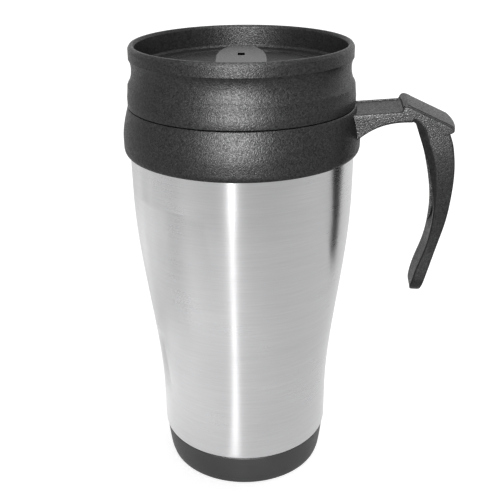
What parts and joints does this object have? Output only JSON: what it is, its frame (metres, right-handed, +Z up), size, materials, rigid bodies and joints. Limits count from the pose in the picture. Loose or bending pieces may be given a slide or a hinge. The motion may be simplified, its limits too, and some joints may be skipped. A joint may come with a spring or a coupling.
{
  "type": "insulated travel mug",
  "caption": "Insulated travel mug: flared brushed steel body with plastic liner, base and collar, hook handle, and a screw lid with a sliding drink closure.",
  "frame": {"origin": "centre of the foot, on the surface the mug stands on", "axes": "+Z up along the mug's axis, +X towards the handle, -Y towards the drink hole"},
  "size_m": [0.1271, 0.0916, 0.18],
  "materials": {
    "brushed_shell": "satin steel, brushed round the body",
    "grained_plastic": "fine spark-eroded grain",
    "smooth_plastic": "smooth satin",
    "slider_plastic": "smooth satin",
    "liner_plastic": "semi-gloss moulding",
    "seal_silicone": "matte translucent grey silicone",
    "foot_rubber": "matte rubber"
  },
  "bodies": {
    "mug": {"outer_shell": "brushed_shell", "inner_liner": "liner_plastic", "collar": "grained_plastic", "collar_seal": "seal_silicone", "liner_seal": "seal_silicone", "base_cap": "smooth_plastic", "base_seal": "seal_silicone", "base_pad": "foot_rubber", "handle": "grained_plastic", "thumb_rest": "grained_plastic"},
    "gasket": {"lid_gasket": "seal_silicone"},
    "lid": {"lid_body": "grained_plastic"},
    "closure": {"slider": "slider_plastic", "slider_retainer": "liner_plastic", "slider_seal": "seal_silicone"}
  },
  "joints": [
    {"name": "lid_lift", "type": "slide", "parent": "mug", "child": "gasket", "axis": [0, 0, 1], "range_m": [0, 0.018]},
    {"name": "lid_turn", "type": "hinge", "parent": "gasket", "child": "lid", "pos_m": [0, 0, 0.1578], "axis": [0, 0, 1], "range_deg": [0, 720]},
    {"name": "slider_slide", "type": "slide", "parent": "lid", "child": "closure", "axis": [-0.1132, 0.9936, 0], "range_m": [0, 0.012]}
  ],
  "couplings": [
    {"joint": "lid_lift", "follows": "lid_turn", "m_per_rad": 0.0014324}
  ]
}
